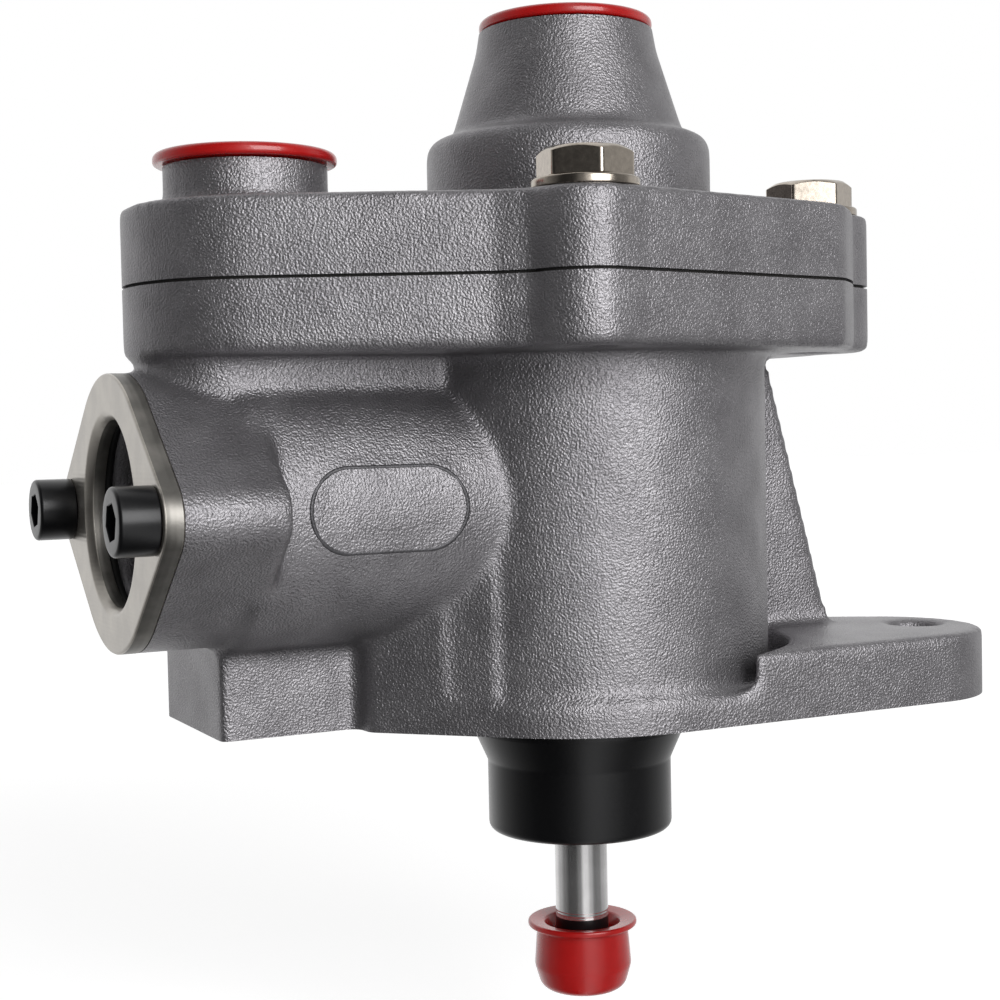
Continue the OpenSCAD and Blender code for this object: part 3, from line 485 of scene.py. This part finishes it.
# The corners of the hexagon are just blunted, and its top is flat out to flat_r
hexagon = np.minimum(hexagon_reach(across_flats), across_flats * 0.568)
flat_r = across_flats * 0.455
top = bevel_top(hexagon, head_h, flat_r)
washer_profile = rounded([(4.3, washer_t, 0.15), (4.3, 0, 0.15), (8.2, 0, 0.25), (8.2, washer_t, 0.45)])
heads, rings = [], []
for i, (angle, turn) in enumerate(zip(bolt_angles, bolt_turns)):
    x = bolt_circle_r * math.cos(math.radians(angle))
    y = bolt_circle_r * math.sin(math.radians(angle))
    turned = Matrix.Rotation(math.radians(turn), 4, "Z")
    place = Matrix.Translation((x, y, cover_top + washer_t)) @ turned
    heads.append(ringed(f"cover_bolt_{i}", [
        (bolt_r, bolt_end), (bolt_r, 0.0), (hexagon - 0.25, 0.0), (hexagon, 0.2), (hexagon, top - 0.15),
        (hexagon - 0.12, top), (flat_r + 0.2, head_h - 0.04), (flat_r, head_h), (flat_r - 0.3, head_h),
    ], place, shut=False, sides=head_sides))
    under_head = Matrix.Translation((x, y, cover_top))
    rings.append(ringed(f"bolt_washer_{i}", washer_profile, under_head, sides=96))
for made, name in ((joined(*heads), "cover_bolts"), (joined(*rings), "bolt_washers")):
    dress(made, plated_steel)
    settle(made, "housing", name)
plain_steel = plain_finish("ground_spring_steel", "#8e8e8f", 0.32, 1.0, grain_mm=0.5, depth_mm=0.006)
for name in ("spring_seat", "inlet_valve_disc", "outlet_valve_disc", "piston_valve_disc",
             "piston_valve_retainer", "seal_retaining_ring", "cage_retaining_ring"):
    dress(node[name], plain_steel)
spring_wire = plain_finish("drawn_spring_wire", "#6c6c6f", 0.35, 1.0, grain_mm=0.4, depth_mm=0.006)

# Each spring gets a smooth-shaded copy of its CAD coil. Its end at its moving piece and its far end are
# worked out but not used, so the coil does not follow that piece
for name, mover, holder, moving_node, axis in (
    ("pumping_spring", "plunger", "housing", "piston", 2),
    ("piston_valve_spring", "piston_disc", "plunger", "piston_valve_disc", 2),
    ("inlet_valve_spring", "inlet_disc", "housing", "inlet_valve_disc", 2),
    ("outlet_valve_spring", "outlet_disc", "housing", "outlet_valve_disc", 0),
):
    points, tris = merged_mesh(name)
    spring_mesh = new_mesh(name + "_coil", points, tris)
    spring_mesh.shade_smooth()
    spring_mesh.set_sharp_from_angle(angle=math.radians(50))
    coil = new_object(name + "_coil", spring_mesh)
    dress(coil, spring_wire)
    low, high = (Vector(corner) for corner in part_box(name))
    middle = (low + high) / 2
    near, far = middle.copy(), middle.copy()
    near[axis], far[axis] = low[axis], high[axis]
    if sum(corner[axis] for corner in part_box(moving_node)) / 2 > middle[axis]:
        near, far = far, near
    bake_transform(coil)
    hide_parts(name)


# Black screws, guide sleeve and rod tip
#
# Steel with a black oxide finish, oiled, so it is black with a satin sheen.

black_oxide = plain_finish("black_oxide_steel", "#101012", 0.3, 0.3, grain_mm=0.5, depth_mm=0.008)
dress(node["rod_tip"], black_oxide)

screw_r, screw_end, screw_head_r, screw_head_h, socket_af = 2.97, -13.5, 5.0, 6.0, 5.0
screw_turn = math.radians(12)
socket = hexagon_reach(socket_af)
head = rounded([
    (screw_r, 0, 0), (screw_head_r, 0, 0.3), (screw_head_r, screw_head_h, 0.55), (3.2, screw_head_h, 0),
])
screws = []
for side in (-1, 1):
    on_plate = Matrix.Translation((boss_face - plate_t, side * screw_y, boss_z))
    place = on_plate @ Matrix.Rotation(-math.pi / 2, 4, "Y")
    screws.append(ringed(f"plate_screw_{side}", [(screw_r, screw_end)] + head + [
        (socket + 0.12, screw_head_h), (socket, screw_head_h - 0.15), (socket, screw_head_h / 2), (0.4, 2.2),
    ], place @ Matrix.Rotation(screw_turn, 4, "Z"), shut=False, sides=head_sides))
screws = joined(*screws)
dress(screws, black_oxide)
settle(screws, "housing", "plate_screws")

# The sleeve's collar fits the engine's bore, and a cone leads down to the narrower sleeve
sleeve = ringed("guide_sleeve_skin", rounded([
    (4.65, -20.4, 0), (5.65, -21.4, 0), (15.95, -21.4, 1.4), (15.95, -9.2, 1.5), (18.3, -3.9, 0.15),
    (18.4, -3.5, 0.1), (18.4, 0, 0), (18.9, 0, 0), (18.9, 1, 0.2), (13.97, 1, 0), (13.97, 13, 0.3),
    (9, 13, 0.2), (9, 4, 0), (4.65, 4, 0),
]))
dress(sleeve, black_oxide)
settle(sleeve, "housing", "guide_sleeve")


# Push rod
#
# Hardened steel, centreless ground: bright, with very fine rings round it.

ground_steel = milled_finish("centreless_ground_steel", "#c2c1c1", "#d0cfcf", 0.3, 0.07, "Z")
dress(node["push_rod"], ground_steel)


# Piston, seals and valve bodies inside
#
# A turned aluminium piston with a polymer ring, nitrile seals, and valve seats and cages turned in brass.

dress(node["piston"], milled_finish("turned_piston_aluminium", "#a9a6a3", "#bdbab6", 0.4, 0.3, "Z"))
dress(node["piston_ring"], plain_finish("filled_ptfe_ring", "#35302b", 0.5))
nitrile = plain_finish("nitrile_rubber", "#161616", 0.6, grain_mm=0.3, depth_mm=0.01)
for name in ("plate_o_ring", "sleeve_o_ring", "rod_seals"):
    dress(node[name], nitrile)
brass = plain_finish("turned_brass", "#c9a55c", 0.28, 1.0, grain_mm=0.4, depth_mm=0.006)
for name in ("inlet_valve_seat", "inlet_valve_cage", "outlet_valve_seat", "outlet_valve_cage"):
    dress(node[name], brass)


# Transport caps
#
# Soft polyethylene plugs, injection moulded in bright red, with a wet gloss.

red_cap = plain_finish("moulded_red_polyethylene", "#a60c0b", 0.26, grain_mm=6.0, depth_mm=0.05,
                       Coat_Weight=0.25, Coat_Roughness=0.08, Subsurface_Weight=0.08)
for name, x, z, flange_r, plug_r in (
    ("tower_cap", 0, 115.9, 14.8, 10.9),
    ("side_cap", side_port_x, 90.3, 14.4, 9.7),
):
    plug = ringed(name + "_skin", rounded([
        (0.5, -6, 0), (plug_r - 0.5, -6, 0.8), (plug_r, 0, 0.3), (flange_r, 0, 0.6), (flange_r, 1.9, 1.0),
        (plug_r - 1.2, 1.9, 0.7), (plug_r - 1.7, -4.8, 1.0), (0.5, -4.8, 0),
    ], steps=9), Matrix.Translation((x, 0, z)), shut=False)
    dress(plug, red_cap)
    settle(plug, name, name)

cup = ringed("rod_cap_skin", rounded([
    (0.5, -49.9, 0), (7.2, -49.9, 2.4), (8.45, -45.6, 3.0), (8.1, -41.0, 3.0), (7.9, -39.1, 0.5),
    (9.5, -38.7, 0.45), (9.5, -37.7, 0.4), (6.6, -38.1, 0.6), (4.9, -42.7, 1.0), (4.9, -46.4, 0.4),
    (0.5, -46.4, 0),
], steps=9), shut=False)
dress(cup, red_cap)
settle(cup, "rod_cap", "rod_cap")


# Floor, light and camera
#
# A white sweep without a visible horizon. A broad soft light stands in front, a little higher than the pump,
# and a weak one on the right. Shiny surfaces mirror a studio of their own, dark in front and white behind.

scene = bpy.context.scene
scene.view_settings.view_transform = "Standard"
# The floor leaves the rod cap its 20 mm of travel below the pump
floor_z, floor_half = -71.0, 4000.0
floor_corners = [(x * floor_half, y * floor_half, floor_z) for x, y in ((-1, -1), (1, -1), (1, 1), (-1, 1))]
floor = new_object("floor", new_mesh("floor", floor_corners, [[0, 1, 2, 3]]))
# Level directions from the pump, as seen in the main view: to the right, and away from the camera
right_way, back_way = (0.893, -0.449, 0.0), (0.449, 0.893, 0.0)
# The studio's brightness at angles round the pump, in degrees to the right of the camera
studio_levels = [
    (-180, 0.9), (-135, 0.85), (-105, 0.48), (-78, 0.17), (-55, 0.03), (-28, 0.03), (-8, 0.19), (10, 0.86),
    (22, 0.86), (38, 0.48), (58, 0.14), (82, 0.18), (100, 0.4), (130, 0.55), (180, 0.9),
]
studio_strength, room_strength = 1.25, 0.36
# What the camera sees of the floor glows less near the pump: (distance in metres, strength), near and far
glow_near, glow_far = (0.15, 0.57), (0.7, 0.72)


def studio(tree, way):
    """What shiny things see round them: white paper behind the pump, and a dark room with one bright window
    in front. The brightness goes with the angle round the pump, to the right from where the camera stands:
    the arc tangent of how far the way goes to the right over how far it comes to the camera."""
    front_way = tuple(-v for v in back_way)
    side = add(tree, "ShaderNodeVectorMath", {0: way, 1: right_way}, operation="DOT_PRODUCT")
    near = add(tree, "ShaderNodeVectorMath", {0: way, 1: front_way}, operation="DOT_PRODUCT")
    angle = add(tree, "ShaderNodeMath", {0: side.outputs["Value"], 1: near.outputs["Value"]},
                operation="ARCTAN2")
    share = add(tree, "ShaderNodeMapRange", {"Value": angle.outputs[0], "From Min": -math.pi,
                                             "From Max": math.pi})
    ramp = add(tree, "ShaderNodeValToRGB", {"Fac": share.outputs["Result"]})
    ramp.color_ramp.interpolation = "EASE"
    stops = ramp.color_ramp.elements
    while len(stops) < len(studio_levels):
        stops.new(1.0)
    for stop, (degrees, _) in zip(stops, studio_levels):
        stop.position = (degrees + 180) / 360
    for stop, (_, level) in zip(stops, studio_levels):
        stop.color = (level, level, level, 1.0)
    return ramp.outputs["Color"]


floor_paint, tree, shader = new_finish("white_sweep", Roughness=0.9, Base_Color=linear("#f4f4f4"))
path = add(tree, "ShaderNodeLightPath")
place = add(tree, "ShaderNodeTexCoord").outputs["Object"]
away = add(tree, "ShaderNodeVectorMath", {0: place}, operation="LENGTH")
spread = add(tree, "ShaderNodeMapRange", {
    "Value": away.outputs["Value"], "From Min": glow_near[0], "From Max": glow_far[0],
    "To Min": glow_near[1], "To Max": glow_far[1],
})
glow = add(tree, "ShaderNodeEmission", {"Color": linear("#ffffff"), "Strength": spread.outputs["Result"]})
seen = add(tree, "ShaderNodeAddShader", {0: shader.outputs[0], 1: glow.outputs[0]})
mix = add(tree, "ShaderNodeMixShader", {"Fac": path.outputs["Is Camera Ray"], 1: shader.outputs[0],
                                        2: seen.outputs[0]})
mirrored = add(tree, "ShaderNodeEmission", {"Color": studio(tree, place), "Strength": studio_strength})
mix = add(tree, "ShaderNodeMixShader", {"Fac": path.outputs["Is Glossy Ray"], 1: mix.outputs[0],
                                        2: mirrored.outputs[0]})
tree.links.new(mix.outputs[0], tree.nodes["Material Output"].inputs["Surface"])
dress(floor, floor_paint)

world = bpy.data.worlds.new("studio")
scene.world = world
world.use_nodes = True
tree = world.node_tree
tree.nodes.clear()
path = add(tree, "ShaderNodeLightPath")
room = add(tree, "ShaderNodeBackground", {"Color": linear("#ffffff"), "Strength": room_strength})
white = add(tree, "ShaderNodeBackground", {"Color": linear("#ffffff"), "Strength": 1.0})
way = add(tree, "ShaderNodeTexCoord").outputs["Generated"]
mirrored = add(tree, "ShaderNodeBackground", {"Color": studio(tree, way), "Strength": studio_strength})
mix = add(tree, "ShaderNodeMixShader", {"Fac": path.outputs["Is Glossy Ray"], 1: room.outputs[0],
                                        2: mirrored.outputs[0]})
mix = add(tree, "ShaderNodeMixShader", {"Fac": path.outputs["Is Camera Ray"], 1: mix.outputs[0],
                                        2: white.outputs[0]})
add(tree, "ShaderNodeOutputWorld", {"Surface": mix.outputs[0]})

pump_middle = Vector((-10, 0, 30))


def soft_light(name, at_mm, size_mm, watts):
    """A square area lamp that looks at the middle of the pump."""
    lamp = bpy.data.lights.new(name, "AREA")
    lamp.size = size_mm * MM
    lamp.energy = watts
    holder = new_object(name, lamp)
    holder.location = Vector(at_mm) * MM
    way = pump_middle * MM - holder.location
    holder.rotation_euler = way.to_track_quat("-Z", "Y").to_euler()


soft_light("key", (30, -620, 240), 420, 3.4)
soft_light("right", (620, -60, 120), 360, 0.08)

# The camera has a long lens, stands a little above the pump's middle to its left, and isn't quite level. The
# shift centres the pump as in the photograph.
azimuth, pitch, roll = math.radians(26.7), math.radians(2.55), math.radians(1.2)
right = Vector((math.cos(azimuth), -math.sin(azimuth), 0))
level = Vector((math.sin(azimuth), math.cos(azimuth), 0))
ahead = level * math.cos(pitch) + Vector((0, 0, -math.sin(pitch)))
up = right.cross(ahead)
up, right = up * math.cos(roll) + right * math.sin(roll), right * math.cos(roll) - up * math.sin(roll)
camera = new_object("camera", bpy.data.cameras.new("camera"))
scene.camera = camera
camera.data.sensor_width = 36.0
camera.data.lens = 63.18
camera.data.shift_x, camera.data.shift_y = -0.005, 0.003
camera.data.clip_start, camera.data.clip_end = 0.01, 20.0
turn = Matrix((right, up, -ahead)).transposed().to_4x4()
camera_at = Vector((-147.6, -266.7, 48.9))
camera.matrix_world = Matrix.Translation(camera_at * MM) @ turn
